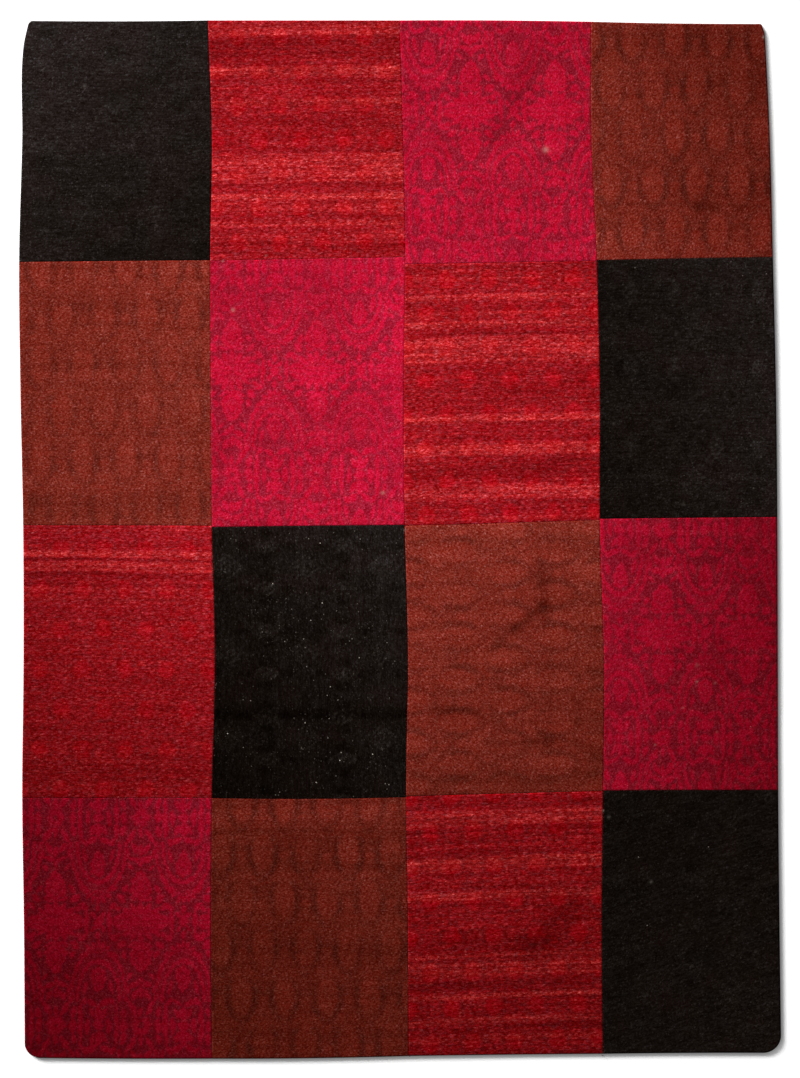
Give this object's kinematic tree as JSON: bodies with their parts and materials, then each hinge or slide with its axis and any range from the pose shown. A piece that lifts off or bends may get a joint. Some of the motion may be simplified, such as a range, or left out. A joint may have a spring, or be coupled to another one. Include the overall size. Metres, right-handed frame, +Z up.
{
  "type": "patchwork rug",
  "caption": "Flat rectangular floor rug of low wool pile, sewn from plain black, banded red, damask crimson and rust carpet patches set in a grid, with an uneven hand-cut outline.",
  "frame": {"origin": "on the ground under the middle of the rug's outline box", "axes": "+Z up out of the pile, +Y along the rug's length to its top end, +X across it to the right"},
  "size_m": [1.7305, 2.3587, 0.009],
  "materials": {
    "black_wool": "low dense wool pile, matte black with brown cast",
    "striped_wool": "low dense wool pile, red with lighter crosswise dye bands",
    "crimson_wool": "low dense wool pile, crimson damask on a duller ground",
    "rust_wool": "low dense wool pile, rust brown with a faint darker trellis"
  },
  "bodies": {
    "root": {"patch_r1_s1_black": "black_wool", "patch_r1_s2_striped": "striped_wool", "patch_r1_s3_crimson": "crimson_wool", "patch_r1_s4_rust": "rust_wool", "patch_r2_s1_rust": "rust_wool", "patch_r2_s2_crimson": "crimson_wool", "patch_r2_s3_striped": "striped_wool", "patch_r2_s4_black": "black_wool", "patch_r3_s1_striped": "striped_wool", "patch_r3_s2_black": "black_wool", "patch_r3_s3_rust": "rust_wool", "patch_r3_s4_crimson": "crimson_wool", "patch_r4_s1_crimson": "crimson_wool", "patch_r4_s2_rust": "rust_wool", "patch_r4_s3_striped": "striped_wool", "patch_r4_s4_black": "black_wool"}
  },
  "joints": []
}
